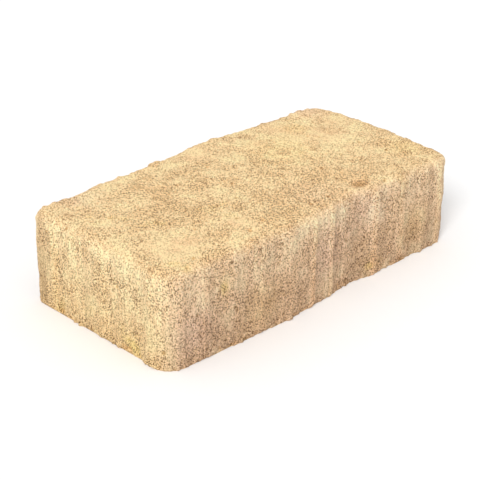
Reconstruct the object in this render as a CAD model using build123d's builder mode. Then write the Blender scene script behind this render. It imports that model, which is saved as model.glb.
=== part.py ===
from build123d import *
from math import cos, pi
import os

# Concrete paver: one pressed block with waving side walls, round corners and an uneven, worn top.

# Size in millimetres: between the mean lines of opposite walls, and from the bed to the highest part of the top.
length = 197.0
width = 97.5
height = 50.0

# Rounded edges: the four upright corners, each worn differently, and the arris between the walls and the top.
front_left_radius = 11.0
front_right_radius = 8.0
back_right_radius = 11.0
back_left_radius = 7.5
arris_radius = 5.0

# How far each wall stands out of its mean line, in millimetres, at even steps from corner to corner.
# The walls follow each other anticlockwise seen from above, and each wave is the same from bed to arris.
# The right half of the front wave also has the deepest flutes of the mould: a ridge at every second step.
front_wave = (-1.2, -0.5, -0.2, 0.2, 0.8, 1.1, 1.4, 1.7, 1.7, 1.3, 0.3,
              -0.2, -1.5, -1.9, 0.5, -0.4, 0.7, -0.2, 0.6, 0.3, -0.3)
right_wave = (-1.1, -0.9, -0.2, 0.4, 0.8, 0.8, 0.6, 0.5, 0.0, -0.9, -1.6)
back_wave = (-2.2, -2.1, -1.8, -1.4, -1.0, -0.7, 0.2, 1.7, 2.6, 2.3, 1.2,
             0.3, 0.0, 0.0, 0.2, 0.1, -0.2, -0.6, -0.6, -0.1, 0.0)
left_wave = (0.2, -0.4, -0.8, -0.6, -0.2, -0.2, -0.3, -0.6, -0.3, 0.7, 1.5)

# The top falls away towards its corners, and low swells cross it in both directions.
corner_fall = 1.4
swell_depth = 0.6
swell_pitch_x = 76.0
swell_pitch_y = 58.0
points_per_swell = 4


def even_steps(start, end, count):
    """Evenly spaced places from start to end, both included."""
    return [start + (end - start) * step / (count - 1) for step in range(count)]


def top_height(x, y):
    """Height of the top above the bed at one place."""
    towards_corner = ((2 * x / length) ** 2 + (2 * y / width) ** 2) / 2
    swell = (1 - cos(2 * pi * x / swell_pitch_x) * cos(2 * pi * y / swell_pitch_y)) / 2
    return height - corner_fall * towards_corner - swell_depth * swell


def top_places(reach, pitch):
    """Places from -reach to reach, close enough together to draw swells of this pitch."""
    return even_steps(-reach, reach, round(2 * reach / pitch * points_per_swell) + 1)


# Mean lines of the walls, and the outline's corners before they are rounded.
front_y, back_y = -width / 2, width / 2
left_x, right_x = -length / 2, length / 2
front_left = Vector(left_x - left_wave[-1], front_y - front_wave[0])
front_right = Vector(right_x + right_wave[0], front_y - front_wave[-1])
back_right = Vector(right_x + right_wave[-1], back_y + back_wave[0])
back_left = Vector(left_x - left_wave[0], back_y + back_wave[-1])
corners = {
    front_left: front_left_radius,
    front_right: front_right_radius,
    back_right: back_right_radius,
    back_left: back_left_radius,
}

# Stations of the waves along their walls.
front_stations = even_steps(front_left.X, front_right.X, len(front_wave))
right_stations = even_steps(front_right.Y, back_right.Y, len(right_wave))
back_stations = even_steps(back_right.X, back_left.X, len(back_wave))
left_stations = even_steps(back_left.Y, front_left.Y, len(left_wave))

# The top is drawn past the furthest wave, so that it cuts right across the block.
overhang = max(front_wave + right_wave + back_wave + left_wave) + arris_radius
top_columns = top_places(length / 2 + overhang, swell_pitch_x)
top_rows = top_places(width / 2 + overhang, swell_pitch_y)
top_surface = Face.make_surface_from_array_of_points(
    [[(x, y, top_height(x, y)) for y in top_rows] for x in top_columns]
)

with BuildPart() as paver:
    with BuildSketch():
        with BuildLine():
            Spline(*[(x, front_y - out) for x, out in zip(front_stations, front_wave)])
            Spline(*[(right_x + out, y) for y, out in zip(right_stations, right_wave)])
            Spline(*[(x, back_y + out) for x, out in zip(back_stations, back_wave)])
            Spline(*[(left_x - out, y) for y, out in zip(left_stations, left_wave)])
        make_face()
    extrude(amount=height + arris_radius)
    for corner, radius in corners.items():
        fillet(paver.edges().filter_by(Axis.Z).sort_by_distance(corner)[0], radius=radius)
    split(bisect_by=top_surface, keep=Keep.BOTTOM)
    fillet(paver.faces().sort_by(Axis.Z)[-1].edges(), radius=arris_radius)

paver.part.label = "paver"

os.makedirs("parts", exist_ok=True)
export_step(paver.part, "parts/paver.step")
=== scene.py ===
from math import cos, exp, radians, sin

import bmesh
import bpy
from mathutils import Matrix, Vector, noise


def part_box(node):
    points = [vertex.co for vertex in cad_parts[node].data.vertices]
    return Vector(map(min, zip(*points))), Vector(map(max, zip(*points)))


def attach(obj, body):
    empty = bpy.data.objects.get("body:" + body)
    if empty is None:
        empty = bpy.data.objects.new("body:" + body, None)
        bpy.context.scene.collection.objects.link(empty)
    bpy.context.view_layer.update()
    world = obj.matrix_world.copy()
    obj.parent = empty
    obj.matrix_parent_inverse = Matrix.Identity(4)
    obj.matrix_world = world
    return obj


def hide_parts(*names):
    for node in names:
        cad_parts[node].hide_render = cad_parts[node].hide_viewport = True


# Buff concrete paver: a pressed block with fluted walls, a sandy skin, a crumbled foot and worn arrises.
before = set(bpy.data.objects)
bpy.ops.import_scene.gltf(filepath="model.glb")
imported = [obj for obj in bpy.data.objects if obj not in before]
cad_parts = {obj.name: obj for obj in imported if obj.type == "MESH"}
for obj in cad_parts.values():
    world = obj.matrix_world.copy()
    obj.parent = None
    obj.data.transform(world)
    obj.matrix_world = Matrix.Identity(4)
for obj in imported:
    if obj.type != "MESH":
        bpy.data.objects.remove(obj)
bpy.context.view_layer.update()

# The relief and the finish are worked out in millimetres, and the mesh is in metres.
MM = 0.001

# Height of the paver in millimetres, from the solid.
block_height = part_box("paver")[1][2] / MM

# Grain of the mesh, in millimetres. Features under about two grains are left to the finish.
skin_grain = 0.74
# Corners of the solid's mesh that lie closer together than this are joined.
join_distance = 0.001

# Ridges and grooves that the mould's ribs left down the two walls that show most. The deepest ones are in
# the solid. Each has its place along the wall, its height (a groove's is below nothing) and its half-width.
front_flutes = (
    (-90.0, 0.35, 3.0), (-84.5, -0.20, 2.5), (-77.5, 0.50, 4.0), (-69.0, -0.35, 4.5), (-58.0, 0.35, 4.0),
    (-51.5, -0.30, 3.0), (-41.0, 0.50, 4.5), (-33.0, -0.50, 3.5), (-23.5, 0.45, 4.0), (-14.0, -0.15, 3.0),
    (-6.5, 0.80, 2.5), (-1.5, -0.30, 2.5), (6.5, 0.70, 2.4), (13.0, -0.70, 3.0), (39.5, 0.20, 4.0),
    (76.0, 0.30, 3.5), (83.0, -0.45, 3.5),
)
left_flutes = (
    (41.0, -0.70, 4.0), (31.0, 0.50, 4.0), (16.0, 0.50, 5.5), (6.0, -0.25, 3.0), (-4.0, 0.20, 3.5),
    (-10.0, -0.35, 3.0), (-19.0, 0.45, 4.0), (-29.0, -0.25, 3.5), (-36.0, 0.30, 4.0),
)
# Upright streaks on these walls, partly pale and dark paste and partly painted light and shade of the
# flutes: place along the wall, paleness (a dark streak's is below nothing) and half-width.
front_streaks_and_flute_shading = (
    (-92.0, 0.3, 3.5), (-77.0, 0.7, 3.0), (-72.0, -0.2, 3.0), (-65.0, -0.6, 4.5), (-52.0, -0.4, 3.0),
    (-42.0, 0.4, 3.5), (-33.0, -0.6, 3.0), (-24.0, 0.4, 4.0), (-6.5, 1.4, 2.0), (-1.5, -0.3, 2.0),
    (7.0, 2.0, 1.9), (13.0, -0.6, 2.5), (18.0, 0.4, 2.5), (27.0, -1.1, 3.5), (33.0, -0.8, 2.5),
    (38.5, 1.4, 2.6), (53.0, -0.4, 3.0), (58.5, 1.1, 2.6), (68.0, -0.4, 4.0), (78.0, -0.3, 3.0),
    (83.0, -0.8, 3.0), (89.0, 1.3, 3.0),
)
left_streaks_and_flute_shading = (
    (41.5, -1.3, 4.5), (31.0, 0.9, 3.5), (20.0, 0.6, 3.0), (14.5, 0.5, 3.0), (8.0, -0.7, 4.0),
    (-5.0, 0.6, 4.0), (-11.0, -0.4, 3.0), (-20.0, 0.1, 4.0), (-30.0, 0.2, 3.0), (49.0, 1.6, 2.5),
)
# The other two walls have flutes of the same kind, not placed one by one.
flute_pitch = 13.0
flute_height = 1.6
# The mould's ribs lean to and fro: how far, and over what length and height of the wall.
rib_lean = 0.8
lean_length = 30.0
lean_height = 25.0

# The walls' numbers, which set the noise on each apart.
front_wall, back_wall, left_wall, right_wall = 1.0, 2.0, 3.0, 4.0
# A wall whose share of a place on the skin is smaller than this gives it nothing.
least_share = 0.01

# Drag marks: upright scratches that the mould left on all four walls. The coarse ones are twice as wide and
# as long as the fine ones, and each kind has a number that sets its noise apart.
drag_pitch = 2.6
drag_length = 38.0
drag_depth = 0.24
fine_drag_share = 0.7
coarse_drag, fine_drag = 20.0, 40.0

# Lumps and sandy grain of the skin. Their noise has layers: how fast these fade, how much finer each is
# than the last, and how many there are.
lump_pitch = 11.0
lump_height = 0.40
lump_layers = (1.0, 2.0, 2)
grain_pitch = 1.9
grain_height = 0.23
grain_layers = (0.9, 2.0, 2)

# Pits of the skin, from half of the widest radius up. A cell of the skin gives two chance numbers, from -1
# to 1, at two scales: it holds a pit where the first is over a threshold, and the second sets its radius.
pit_pitch = 6.5
pit_radius = 1.5
pit_depth = 0.9
pit_floor_share = 0.3
pit_threshold = 0.1
pit_mean_share, pit_share_swing = 0.75, 0.25
pit_scale, pit_radius_scale = 7.3, 3.1

# The foot of the walls is crumbled. Of its depth, one share is lost all along, and one comes and goes.
foot_height = 5.0
foot_pitch = 7.0
foot_depth = 1.8
foot_loss, foot_loss_swing = 0.05, 0.5
crumb_pitch = 2.3
crumb_size = 1.6
# Larger chips out of the foot of the left wall: place along the wall, half-width and depth.
left_foot_chips = ((-20.0, 4.0, 1.5), (5.0, 3.0, 1.0), (27.0, 3.5, 1.0))

# The arris round the top is worn, with smaller crumbs. The skin turns from wall to arris, and from arris to
# top, where the z of its normal is within these spans.
wall_to_arris = (0.1, 0.5)
arris_to_top = (0.85, 0.99)
arris_pitch = 6.0
arris_depth = 0.8
arris_loss = 0.1
arris_layers = (0.8, 2.0, 3)
arris_crumb_share = 0.3

# One broken pocket in the top beside the front arris, with a raised rim at its side: places, half-widths,
# depth and height. Both fade out down the wall, between two depths under the top.
pocket_place = (35.0, -41.0)
pocket_size = (5.0, 3.5)
pocket_depth = 1.3
rim_place = (28.0, -45.0)
rim_size = (4.0, 2.5)
rim_height = 0.5
pocket_fade = (6.0, 12.0)

# The one corner of the top that is fuller than the solid's round one: x, y, z, half-width and height.
full_corner = ((96.0, -46.5, 48.5, 3.5, 0.9),)

# Skin faces left, or down, where the x, or the z, of its normal is below these.
facing_left = -0.5
facing_down = -0.7
# The bed that the paver lies on: skin that faces down is left flat below the first height, and faces that
# lie wholly below the second are joined.
bed_reach = 1.0
bed_flatness = 0.05

# Places on the top where the paste has floated up smooth and pale, and where the sand lies open and brown:
# x, y, half-width and smoothness (a sandy place's is below nothing).
paste_spots = (
    (-24.0, 2.0, 6.0, 1.0), (-41.0, -2.0, 3.0, 1.0), (-57.0, 12.0, 4.0, 1.0), (0.0, -12.0, 4.0, 1.0),
    (17.0, -11.0, 5.0, 1.0), (-37.0, -28.0, 7.0, 1.0), (-76.0, -32.0, 10.0, 0.7), (68.0, 4.0, 5.0, 1.0),
    (50.0, 22.0, 10.0, 0.4), (28.0, -45.0, 5.0, 1.0), (-5.0, 36.0, 10.0, 0.6), (55.0, 38.0, 9.0, 0.8),
    (-58.0, -6.0, 11.0, -0.6), (-44.0, 19.0, 5.0, -1.0), (16.0, 32.0, 5.0, -0.6), (11.0, -7.0, 3.0, -1.0),
    (-26.0, -19.0, 5.0, -1.0), (44.0, -17.0, 7.0, -0.6), (-4.0, -33.0, 8.0, -0.6), (10.0, -36.0, 6.0, -0.4),
    (36.0, -38.0, 6.0, -0.6), (-63.0, 20.0, 10.0, -0.8), (-29.0, 18.0, 8.0, -0.6),
    (-17.0, -24.0, 9.0, -0.6), (55.0, 12.0, 26.0, 0.5), (85.0, 40.0, 14.0, 0.8), (-78.0, -26.0, 18.0, 0.5),
    (-48.0, 4.0, 24.0, -0.4), (5.0, -36.0, 28.0, -0.5), (-52.0, 44.0, 10.0, 0.8), (-30.0, 44.0, 9.0, 0.7),
    (6.0, 44.0, 13.0, 0.8), (29.0, 29.0, 9.0, 0.6), (67.0, 12.0, 9.0, 0.8), (87.0, 17.0, 9.0, 0.7),
    (-75.0, 17.0, 7.0, 0.7), (-64.0, -7.0, 8.0, -0.8), (-52.0, -15.0, 8.0, -0.5), (40.0, -18.0, 8.0, -0.7),
    (86.0, -13.0, 8.0, -0.5), (-80.0, -24.0, 11.0, 0.4), (-63.0, -27.0, 6.0, 0.6), (-39.0, -31.0, 5.0, 0.8),
    (-12.0, -35.0, 9.0, -0.9), (34.0, -33.0, 9.0, -0.8), (63.0, -20.0, 6.0, 0.6), (-42.0, 6.0, 6.0, -0.5),
)
# The same on the walls: x, y, z, half-width and smoothness.
wall_spots = (
    (-78.0, -48.5, 40.0, 14.0, 0.7), (-41.0, -49.5, 13.0, 8.0, -0.6), (53.0, -48.5, 36.0, 15.0, -0.6),
    (90.0, -48.5, 12.0, 9.0, 0.8), (-98.5, 37.0, 15.0, 9.0, -0.8), (-98.5, -2.0, 8.0, 8.0, -0.7),
    (-98.5, 20.0, 9.0, 7.0, 0.6), (-98.5, -36.0, 40.0, 9.0, 0.4), (-98.5, -9.0, 41.0, 8.0, 0.4),
    (-98.5, 34.0, 2.0, 8.0, -1.0), (-98.5, 20.0, 1.0, 6.0, -0.8), (-97.0, 46.0, 46.0, 7.0, 1.2),
)
# Broad places where the paste is yellower, or greyer from a bloom of lime: x, y, z, half-width and
# yellowness (a bloom's is below nothing).
hue_spots = (
    (-82.0, -48.5, 16.0, 14.0, -1.0), (6.0, -49.0, 24.0, 15.0, -1.0), (35.0, -48.0, 38.0, 14.0, -0.9),
    (-42.0, -49.5, 14.0, 14.0, 1.1), (70.0, -48.5, 17.0, 12.0, 1.3), (-65.0, -48.5, 36.0, 8.0, 0.7),
    (38.0, -48.0, 9.0, 7.0, 0.7), (35.0, 12.0, 49.0, 22.0, 0.8), (63.0, 28.0, 49.0, 8.0, 1.0),
    (86.0, -27.0, 49.0, 11.0, 1.0), (-75.0, 40.0, 49.0, 13.0, -0.9), (86.0, 42.0, 49.0, 13.0, -1.0),
    (10.0, -34.0, 49.0, 16.0, -0.7),
)
# Ochre stains in the walls: x, y, z, half-width and strength.
ochre_stains = (
    (-65.0, -48.5, 33.0, 4.0, 1.0), (58.0, -48.5, 21.0, 5.0, 1.0), (35.5, -47.5, 6.0, 4.0, 1.0),
    (88.0, -48.5, 26.0, 5.0, 0.8), (-33.0, -49.5, 9.0, 6.0, 0.7), (-98.0, 4.0, 13.0, 4.0, 1.0),
    (-98.0, -25.0, 5.0, 5.0, 0.8), (-98.0, 27.0, 4.0, 5.0, 1.0), (-98.0, 44.0, 6.0, 5.0, 1.0),
    (-96.0, 48.0, 12.0, 6.0, 1.0),
)

# What the skin keeps for the finish to read, as attributes.
skin_notes = ("hollow", "streak_and_flute_shading", "wall", "shaded_wall", "broken", "smooth", "yellow", "stain")


def hump(offset, half_width):
    """A smooth hump of height one round an offset of nothing."""
    return exp(-(offset / half_width) ** 2)


def slope_between(value, start, end):
    """Rises smoothly from nothing at start to one at end."""
    share = min(max((value - start) / (end - start), 0.0), 1.0)
    return share * share * (3 - 2 * share)


def sum_of_humps(humps, along):
    """Height of a row of humps at one place along a wall."""
    return sum(tall * hump(along - place, wide) for place, tall, wide in humps)


def sum_of_spots(spots, place):
    """What a list of round spots adds up to at one place."""
    return sum(much * hump((place - Vector((x, y, z))).length, wide) for x, y, z, wide, much in spots)


def flutes_and_painted_shading(along, height, wall):
    """Height of a wall's flutes at one place, and how pale its finish is there, partly as painted light and
    shade of the flutes.
    """
    along += rib_lean * noise.noise((along / lean_length, height / lean_height, wall))
    if wall == front_wall:
        return sum_of_humps(front_flutes, along), sum_of_humps(front_streaks_and_flute_shading, along)
    if wall == left_wall:
        return sum_of_humps(left_flutes, along), sum_of_humps(left_streaks_and_flute_shading, along)
    flutes = flute_height * noise.noise((along / flute_pitch, wall, 0.0))
    # On these walls the ridges are painted pale and the grooves dark: painted light and shade of the
    # flutes.
    return flutes, flutes


def drag_marks(along, height, wall):
    """Upright scratches, coarse and fine."""
    coarse = noise.noise((along / drag_pitch / 2, height / drag_length, wall + coarse_drag))
    fine = noise.noise((along / drag_pitch, height / drag_length * 2, wall + fine_drag))
    return drag_depth * (coarse + fine_drag_share * fine)


def wall_relief(place, normal):
    """Flutes, drag marks and streaks of the walls, the streaks partly painted light and shade of the
    flutes. At a corner, two walls share by how the skin faces.
    """
    x, y, z = place
    walls = (
        (max(-normal.y, 0.0) ** 2, x, front_wall),
        (max(normal.y, 0.0) ** 2, x, back_wall),
        (max(-normal.x, 0.0) ** 2, y, left_wall),
        (max(normal.x, 0.0) ** 2, y, right_wall),
    )
    flutes, marks, streak_and_flute_shading = 0.0, 0.0, 0.0
    for share, along, wall in walls:
        if share > least_share:
            ridge, paleness = flutes_and_painted_shading(along, z, wall)
            flutes += share * ridge
            streak_and_flute_shading += share * paleness
            marks += share * drag_marks(along, z, wall)
    return flutes, marks, streak_and_flute_shading


def pits(place):
    """Small round pits: some of the cells that fill the skin hold one."""
    gaps, centres = noise.voronoi(place / pit_pitch)
    if noise.cell(centres[0] * pit_scale) < pit_threshold:
        return 0.0
    share = pit_mean_share + pit_share_swing * noise.cell(centres[0] * pit_radius_scale)
    reach = pit_radius / pit_pitch * share
    return pit_depth * (1 - slope_between(gaps[0], pit_floor_share * reach, reach))


def top_pocket(place):
    """The broken pocket beside the front arris, and its rim."""
    x, y, z = place
    hollow = hump(x - pocket_place[0], pocket_size[0]) * hump(y - pocket_place[1], pocket_size[1])
    rim = hump(x - rim_place[0], rim_size[0]) * hump(y - rim_place[1], rim_size[1])
    near_top = slope_between(z, block_height - pocket_fade[1], block_height - pocket_fade[0])
    return near_top * (rim_height * rim - pocket_depth * hollow)


def crumbled_foot(place, normal):
    """How much has broken off the foot of the walls."""
    near_bed = 1 - slope_between(place.z, 0.0, foot_height)
    coarse = noise.noise(Vector((place.x, place.y, 0.0)) / foot_pitch)
    crumbs = foot_depth * max(0.0, foot_loss + foot_loss_swing * coarse)
    crumbs += crumb_size * noise.noise(place / crumb_pitch)
    if normal.x < facing_left:
        crumbs += sum(deep * hump(place.y - spot, wide) for spot, wide, deep in left_foot_chips)
    return (1 - normal.z ** 2) * near_bed * crumbs


def worn_arris(place, normal):
    """How much has worn off the arris round the top."""
    on_arris = slope_between(normal.z, *wall_to_arris) * (1 - slope_between(normal.z, *arris_to_top))
    wear = arris_depth * (arris_loss + noise.fractal(place / arris_pitch, *arris_layers))
    crumbs = arris_crumb_share * crumb_size * noise.noise(place / crumb_pitch)
    return on_arris * (wear + crumbs)


def top_smoothness(place):
    """How smooth the paste of the top is at one place."""
    total = 0.0
    for x, y, wide, smooth in paste_spots:
        total += smooth * hump(((place.x - x) ** 2 + (place.y - y) ** 2) ** 0.5, wide)
    return total


def skin_at(place, normal):
    """How far the skin stands out of the solid at one place, and what the finish needs to know of it."""
    flutes, marks, streak_and_flute_shading = wall_relief(place, normal)
    lumps = lump_height * noise.fractal(place / lump_pitch, *lump_layers)
    grain = grain_height * noise.fractal(place / grain_pitch, *grain_layers)
    holes = pits(place)
    pocket = top_pocket(place)
    crumbs = crumbled_foot(place, normal)
    relief = flutes + marks + lumps + grain - holes + pocket - crumbs - worn_arris(place, normal)
    relief += sum_of_spots(full_corner, place)
    upness = max(normal.z, 0.0) ** 2
    return relief, {
        # How deep the skin lies in its grain, pits and pocket, which the finish darkens as painted shade.
        "hollow": max(0.0, -grain) + holes + max(0.0, -pocket) / 2,
        # Partly pale paste and partly painted light and shade along the flutes.
        "streak_and_flute_shading": streak_and_flute_shading,
        "wall": 1 - normal.z ** 2,
        # The walls but the left one, which the key light reaches less; the finish paints a rosy shade on
        # them.
        "shaded_wall": normal.y ** 2 + max(normal.x, 0.0) ** 2,
        "broken": crumbs,
        "smooth": upness * top_smoothness(place) + (1 - upness) * sum_of_spots(wall_spots, place),
        "yellow": sum_of_spots(hue_spots, place),
        "stain": sum_of_spots(ochre_stains, place),
    }


def solid_copy():
    """A copy of the solid's mesh, with its loose triangles joined."""
    shape = bmesh.new()
    shape.from_mesh(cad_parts["paver"].data)
    bmesh.ops.remove_doubles(shape, verts=shape.verts, dist=join_distance * MM)
    mesh = bpy.data.meshes.new("paver_skin")
    shape.to_mesh(mesh)
    shape.free()
    return mesh


def even_grain(mesh):
    """The same shape in small even faces."""
    piece = bpy.data.objects.new("paver_skin", mesh)
    bpy.context.collection.objects.link(piece)
    grain = piece.modifiers.new("even grain", "REMESH")
    grain.mode = "VOXEL"
    grain.voxel_size = skin_grain * MM
    ready = piece.evaluated_get(bpy.context.evaluated_depsgraph_get())
    piece.data = bpy.data.meshes.new_from_object(ready)
    piece.modifiers.clear()
    return piece


def rough_skin(piece):
    """Moves the skin out and in by the relief, all but the bed, and keeps its notes as attributes."""
    mesh = piece.data
    notes = {name: [0.0] * len(mesh.vertices) for name in skin_notes}
    moved = []
    for vertex in mesh.vertices:
        place, normal = vertex.co / MM, vertex.normal.copy()
        if normal.z < facing_down and place.z < bed_reach:
            moved.append(vertex.co.copy())
            continue
        relief, facts = skin_at(place, normal)
        for name, value in facts.items():
            notes[name][vertex.index] = value
        place += normal * relief
        place.z = max(place.z, 0.0)
        moved.append(place * MM)
    for vertex, place in zip(mesh.vertices, moved):
        vertex.co = place
    for name, values in notes.items():
        mesh.attributes.new(name, "FLOAT", "POINT").data.foreach_set("value", values)


def plain_bed(piece):
    """Joins the flat faces of the bed, which lies on the ground, into one."""
    shape = bmesh.new()
    shape.from_mesh(piece.data)
    flat = [face for face in shape.faces if all(corner.co.z < bed_flatness * MM for corner in face.verts)]
    bmesh.ops.dissolve_faces(shape, faces=flat, use_verts=True)
    for face in shape.faces:
        face.smooth = True
    shape.to_mesh(piece.data)
    shape.free()


paver = even_grain(solid_copy())
rough_skin(paver)
plain_bed(paver)
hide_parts("paver")
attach(paver, "root")


# The finish. Colours of the paste from open and sandy to smooth and pale, and of the stains in it.
sandy_tan = (0.825, 0.558, 0.296)
buff = (0.912, 0.629, 0.345)
pale_straw = (0.967, 0.714, 0.393)
ochre = (0.89, 0.64, 0.24)
# What tints the paste in its yellow and limy places, and on the walls.
yellow_tint = (1.0, 0.99, 0.90)
lime_tint = (0.98, 0.975, 1.06)
wall_tint = (0.985, 1.057, 1.107)
# Painted shade: a rosy tint on all walls but the left one, which the key light reaches most.
rosy_painted_shade = (0.945, 0.925, 1.015)
# Painted shade: the walls darker towards the foot, and rosier there on all walls but the left one.
painted_foot_shade = (0.85, 0.835, 0.78)
rosy_painted_foot_shade = (0.875, 0.85, 0.893)
# Partly pale and dark paste, partly painted highlight and shade along the flutes.
dark_band_and_flute_shade = (0.72, 0.70, 0.68)
pale_band_and_flute_highlight = (1.21, 1.15, 1.10)
dark_streak = (0.91, 0.90, 0.90)
light_streak = (1.08, 1.08, 1.08)
broken_tint = (1.0, 0.94, 0.84)
# What tints it in the gaps between sand grains, on the grains, in the dust and in pores, and the painted
# shade in its hollows.
dark_sand = (0.17, 0.09, 0.01)
light_sand = (1.21, 1.22, 1.27)
dark_wall_sand = (0.13, 0.075, 0.015)
light_wall_sand = (1.20, 1.21, 1.26)
dark_dust = (0.68, 0.60, 0.45)
light_dust = (1.28, 1.29, 1.36)
pore_tint = (0.22, 0.13, 0.03)
# Painted shade in the hollows of the skin.
painted_hollow_shade = (0.67, 0.60, 0.48)

# Sizes of the finish's patterns, in millimetres.
patch_size = 13.0
stain_size = 20.0
streak_size = 1.3
sand_size = 0.72
wall_sand_size = 0.62
dust_size = 0.32
pore_pitch = 0.85
pore_cluster = 6.0
# Layers of finer noise in the broad patterns and in the small ones, and how rough they are.
broad_detail = 3.0
small_detail = 2.0
layer_roughness = 0.55
# The mould draws patterns out upright: grains a little, and streaks to about half of the wall's height.
grain_squeeze = (1.0, 1.0, 0.82)
streak_squeeze = (1.0, 1.0, 0.05)

# Spans of the finish: the value at which each effect begins, and the value at which it is full.
open_paste = (0.66, 0.38)
tan_to_buff = (0.36, 0.52)
buff_to_straw = (0.50, 0.66)
stained = (0.62, 0.85)
yellowed = (0.0, 1.2)
limed = (0.0, -1.2)
# Painted shade: the heights between which the walls darken towards the foot.
shaded_towards_foot = (48.0, 6.0)
# Partly painted highlight and shade along the flutes.
dark_banded_and_shaded = (0.0, -1.6)
pale_banded_and_lit = (0.0, 1.6)
dark_to_light_streak = (0.34, 0.66)
crumbled = (0.1, 1.0)
smoothed_over = (0.3, 1.2)
gap_to_grain = (0.41, 0.69)
dark_to_light_dust = (0.36, 0.64)
clustered = (0.62, 0.38)
holds_pore = (1.08, 1.20)
pore_edge = (0.40, 0.14)
# Painted shade in the hollows of the skin, by their depth.
shaded_in_hollows = (0.0, 0.8)

# How much the skin's notes count beside the noise that they are added to.
smooth_weight = 0.13
stain_weight = 0.25
# How strong a stain is, and how much of the sand smooth paste covers.
stain_strength = 0.7
smooth_cover = 0.40
# How much of the sand shows everywhere, and how much more where it lies open.
plain_sand, open_sand = 0.65, 0.35
# How much the gaps between grains differ in width.
gap_variety = 0.40
# What raises and lowers the odds of a pore.
cluster_odds = 0.45
open_odds = 0.40
wall_odds = -0.12
shaded_wall_odds = -0.10

# The surface of the concrete: matt, with a fine relief of dust and pores, in millimetres.
matt_roughness = 0.92
dull_gloss = 0.25
relief_strength = 0.5
relief_depth = 0.5


class Nodes:
    """The nodes of a material or of the sky. What add gives is a new node, and the rest give outputs."""

    def __init__(self, owner):
        owner.use_nodes = True
        self.tree = owner.node_tree
        self.tree.nodes.clear()

    def add(self, kind, inputs, **settings):
        """A new node. Each input is joined to another node's output or set to a value of its own."""
        node = self.tree.nodes.new(kind)
        for name, value in settings.items():
            setattr(node, name, value)
        for name, value in inputs.items():
            socket = node.inputs[name]
            if isinstance(value, bpy.types.NodeSocket):
                self.tree.links.new(value, socket)
            elif socket.type == "RGBA":
                socket.default_value = (*value, 1.0)
            else:
                socket.default_value = value
        return node

    def note(self, name):
        """What the skin keeps under this name."""
        return self.add("ShaderNodeAttribute", {}, attribute_name=name).outputs["Fac"]

    def scaled(self, vector, by):
        return self.add("ShaderNodeVectorMath", {0: vector, 1: by}, operation="MULTIPLY").outputs["Vector"]

    def clouds(self, where, size, detail):
        """Soft noise."""
        inputs = {"Vector": where, "Scale": 1 / size, "Detail": detail, "Roughness": layer_roughness}
        return self.add("ShaderNodeTexNoise", inputs).outputs["Fac"]

    def cells(self, where, size):
        """Distance from the middle of the nearest of many cells, and a chance number of that cell's own."""
        cell = self.add("ShaderNodeTexVoronoi", {"Vector": where, "Scale": 1 / size})
        chance = self.add("ShaderNodeSeparateColor", {"Color": cell.outputs["Color"]})
        return cell.outputs["Distance"], chance.outputs["Red"]

    def spread(self, value, span):
        """Nothing where the span begins, one where it ends."""
        inputs = {"Value": value, "From Min": span[0], "From Max": span[1]}
        return self.add("ShaderNodeMapRange", inputs, interpolation_type="SMOOTHSTEP").outputs["Result"]

    def math(self, operation, first, second):
        return self.add("ShaderNodeMath", {0: first, 1: second}, operation=operation).outputs["Value"]

    def plus(self, first, second):
        return self.math("ADD", first, second)

    def times(self, first, second):
        return self.math("MULTIPLY", first, second)

    def rest_of(self, share):
        return self.math("SUBTRACT", 1.0, share)

    def blend(self, share, first, second, kind="MIX"):
        inputs = {"Factor": share, "A": first, "B": second}
        return self.add("ShaderNodeMix", inputs, data_type="RGBA", blend_type=kind).outputs["Result"]

    def tinted(self, colour, share, tint):
        return self.blend(share, colour, tint, "MULTIPLY")


def paste_patches(nodes, place):
    """Colour of the patches of paste and the stains in them, and how open their sand lies."""
    smooth = nodes.times(nodes.note("smooth"), smooth_weight)
    paste = nodes.plus(nodes.clouds(place, patch_size, broad_detail), smooth)
    colour = nodes.blend(nodes.spread(paste, tan_to_buff), sandy_tan, buff)
    colour = nodes.blend(nodes.spread(paste, buff_to_straw), colour, pale_straw)
    placed_stain = nodes.times(nodes.note("stain"), stain_weight)
    stain = nodes.plus(nodes.clouds(place, stain_size, broad_detail), placed_stain)
    colour = nodes.blend(nodes.times(nodes.spread(stain, stained), stain_strength), colour, ochre)
    yellow = nodes.note("yellow")
    colour = nodes.tinted(colour, nodes.spread(yellow, yellowed), yellow_tint)
    colour = nodes.tinted(colour, nodes.spread(yellow, limed), lime_tint)
    return colour, nodes.spread(paste, open_paste)


def wall_bands(nodes, colour, place, wall, shaded_wall):
    """Makes walls rosy on all sides but the left and darker low down, both as painted shade, streaked,
    partly with painted light and shade of the flutes, and brown where crumbled.
    """
    height = nodes.add("ShaderNodeSeparateXYZ", {"Vector": place}).outputs["Z"]
    low = nodes.spread(height, shaded_towards_foot)
    colour = nodes.tinted(colour, wall, wall_tint)
    # Painted shade: rosy on all walls but the left one, and darker towards the foot.
    colour = nodes.tinted(colour, shaded_wall, rosy_painted_shade)
    colour = nodes.tinted(colour, low, painted_foot_shade)
    colour = nodes.tinted(colour, nodes.times(low, shaded_wall), rosy_painted_foot_shade)
    # Pale and dark bands along the flutes: partly paste, partly painted highlight and shade.
    band_and_flute_shading = nodes.note("streak_and_flute_shading")
    colour = nodes.tinted(colour, nodes.spread(band_and_flute_shading, dark_banded_and_shaded), dark_band_and_flute_shade)
    colour = nodes.tinted(colour, nodes.spread(band_and_flute_shading, pale_banded_and_lit), pale_band_and_flute_highlight)
    streaks = nodes.clouds(nodes.scaled(place, streak_squeeze), streak_size, small_detail)
    streak_tint = nodes.blend(nodes.spread(streaks, dark_to_light_streak), dark_streak, light_streak)
    colour = nodes.tinted(colour, wall, streak_tint)
    return nodes.tinted(colour, nodes.spread(nodes.note("broken"), crumbled), broken_tint)


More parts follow.
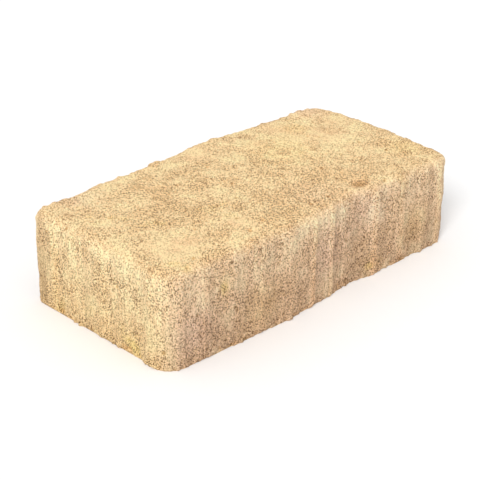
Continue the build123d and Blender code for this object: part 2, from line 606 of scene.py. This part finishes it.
def sand_grains(nodes, where, size):
    """Nothing in the gaps between sand grains, one on the grains. Some gaps are wide and some are shut."""
    gap, chance = nodes.cells(where, size)
    return nodes.spread(nodes.plus(gap, nodes.times(chance, gap_variety)), gap_to_grain)


def sand_and_dust(nodes, colour, place, drawn_out, wall, openness, dust):
    """Lays sand grains, with dark gaps between them, and dust on the colour. Smooth paste covers some."""
    covered = nodes.times(nodes.spread(nodes.note("smooth"), smoothed_over), smooth_cover)
    bare = nodes.plus(nodes.times(openness, open_sand), plain_sand)
    bare = nodes.times(bare, nodes.rest_of(covered))
    top_sand = nodes.blend(sand_grains(nodes, place, sand_size), dark_sand, light_sand)
    colour = nodes.tinted(colour, nodes.times(bare, nodes.rest_of(wall)), top_sand)
    wall_grains = sand_grains(nodes, drawn_out, wall_sand_size)
    wall_sand = nodes.blend(wall_grains, dark_wall_sand, light_wall_sand)
    colour = nodes.tinted(colour, nodes.times(bare, wall), wall_sand)
    dust_tint = nodes.blend(nodes.spread(dust, dark_to_light_dust), dark_dust, light_dust)
    return nodes.tinted(colour, bare, dust_tint)


def pores(nodes, place, drawn_out, wall, shaded_wall, openness):
    """One in the pores, which come in clusters, most of them where the sand lies open."""
    gap, chance = nodes.cells(drawn_out, pore_pitch)
    cluster = nodes.spread(nodes.clouds(place, pore_cluster, small_detail), clustered)
    odds = nodes.times(cluster, cluster_odds)
    for share, more in ((openness, open_odds), (wall, wall_odds), (shaded_wall, shaded_wall_odds)):
        odds = nodes.plus(odds, nodes.times(share, more))
    held = nodes.spread(nodes.plus(chance, odds), holds_pore)
    return nodes.times(nodes.spread(gap, pore_edge), held)


def concrete_finish():
    """Matt buff concrete: pale paste, open sand, pores and stains, with painted shade in the hollows, a
    rosy painted shade on all walls but the left one, painted shade that darkens the walls towards the foot,
    and painted light and shade along the flutes.
    """
    material = bpy.data.materials.new("buff_concrete")
    nodes = Nodes(material)
    spot = nodes.add("ShaderNodeTexCoord", {}).outputs["Object"]
    place = nodes.scaled(spot, (1 / MM, 1 / MM, 1 / MM))
    drawn_out = nodes.scaled(place, grain_squeeze)
    wall, shaded_wall = nodes.note("wall"), nodes.note("shaded_wall")
    dust = nodes.clouds(drawn_out, dust_size, small_detail)
    colour, openness = paste_patches(nodes, place)
    colour = wall_bands(nodes, colour, place, wall, shaded_wall)
    colour = sand_and_dust(nodes, colour, place, drawn_out, wall, openness, dust)
    pore = pores(nodes, place, drawn_out, wall, shaded_wall, openness)
    colour = nodes.tinted(colour, pore, pore_tint)
    # Painted shade in the hollows of the skin.
    colour = nodes.tinted(colour, nodes.spread(nodes.note("hollow"), shaded_in_hollows), painted_hollow_shade)
    colour.node.clamp_result = True
    bump = nodes.add("ShaderNodeBump", {
        "Strength": relief_strength,
        "Distance": relief_depth * MM,
        "Height": nodes.math("SUBTRACT", dust, pore),
    })
    shader = nodes.add("ShaderNodeBsdfPrincipled", {
        "Base Color": colour,
        "Roughness": matt_roughness,
        "Specular IOR Level": dull_gloss,
        "Normal": bump.outputs["Normal"],
    })
    nodes.add("ShaderNodeOutputMaterial", {"Surface": shader.outputs["BSDF"]})
    return material


paver.data.materials.clear()
paver.data.materials.append(concrete_finish())


# Studio. The floor and the sky are white to the camera, and duller in the light that they throw.
floor_half = 3.0
floor_bounce = 0.70
sky_strength = 0.76
white = (1.0, 1.0, 1.0)
white_strength = 1.0
key_strength = 1.59
key_softness = radians(20.0)
key_from = Vector((-0.70, -0.36, 0.62))


def seen_or_thrown(nodes, seen, thrown):
    """One shader to the camera, straight, reflected or through glass, and another to all other light."""
    path = nodes.add("ShaderNodeLightPath", {}).outputs
    directly = nodes.math("MAXIMUM", path["Is Camera Ray"], path["Is Glossy Ray"])
    directly = nodes.math("MAXIMUM", directly, path["Is Transmission Ray"])
    return nodes.add("ShaderNodeMixShader", {"Fac": directly, 1: thrown, 2: seen}).outputs["Shader"]


def white_floor():
    shape = bmesh.new()
    bmesh.ops.create_grid(shape, x_segments=1, y_segments=1, size=floor_half)
    mesh = bpy.data.meshes.new("floor")
    shape.to_mesh(mesh)
    shape.free()
    floor = bpy.data.objects.new("floor", mesh)
    bpy.context.collection.objects.link(floor)
    material = bpy.data.materials.new("white_floor")
    nodes = Nodes(material)
    bright = nodes.add("ShaderNodeBsdfDiffuse", {"Color": white})
    dull = nodes.add("ShaderNodeBsdfDiffuse", {"Color": (floor_bounce, floor_bounce, floor_bounce)})
    surface = seen_or_thrown(nodes, bright.outputs["BSDF"], dull.outputs["BSDF"])
    nodes.add("ShaderNodeOutputMaterial", {"Surface": surface})
    mesh.materials.append(material)


def soft_sky():
    world = bpy.data.worlds.new("soft_sky")
    bpy.context.scene.world = world
    nodes = Nodes(world)
    backdrop = nodes.add("ShaderNodeBackground", {"Color": white, "Strength": white_strength})
    light = nodes.add("ShaderNodeBackground", {"Color": white, "Strength": sky_strength})
    surface = seen_or_thrown(nodes, backdrop.outputs["Background"], light.outputs["Background"])
    nodes.add("ShaderNodeOutputWorld", {"Surface": surface})


def key_light():
    lamp = bpy.data.lights.new("key_light", "SUN")
    lamp.energy = key_strength
    lamp.angle = key_softness
    holder = bpy.data.objects.new("key_light", lamp)
    holder.rotation_euler = key_from.to_track_quat("Z", "Y").to_euler()
    bpy.context.collection.objects.link(holder)


# Camera: where it stands round the block, what it aims at beside the block's middle, its roll and its lens.
view_azimuth = radians(-45.246)
view_elevation = radians(27.222)
view_roll = radians(0.789)
view_distance = 735.84 * MM
aim_right = -4.33 * MM
aim_up = -8.78 * MM
aim_height = 25.0 * MM
sensor_width = 36.0
lens_length = 110.99


def photo_camera():
    level = cos(view_elevation)
    back = Vector((sin(view_azimuth) * level, -cos(view_azimuth) * level, sin(view_elevation)))
    right = Vector((cos(view_azimuth), sin(view_azimuth), 0.0))
    up = back.cross(right)
    lens = bpy.data.cameras.new("camera")
    lens.sensor_width = sensor_width
    lens.lens = lens_length
    camera = bpy.data.objects.new("camera", lens)
    turned = Matrix((right, up, back)).transposed() @ Matrix.Rotation(view_roll, 3, "Z")
    camera.rotation_euler = turned.to_euler()
    aim = Vector((0.0, 0.0, aim_height)) + right * aim_right + up * aim_up
    camera.location = aim + back * view_distance
    bpy.context.collection.objects.link(camera)
    bpy.context.scene.camera = camera


white_floor()
soft_sky()
key_light()
photo_camera()
bpy.context.scene.view_settings.view_transform = "Standard"
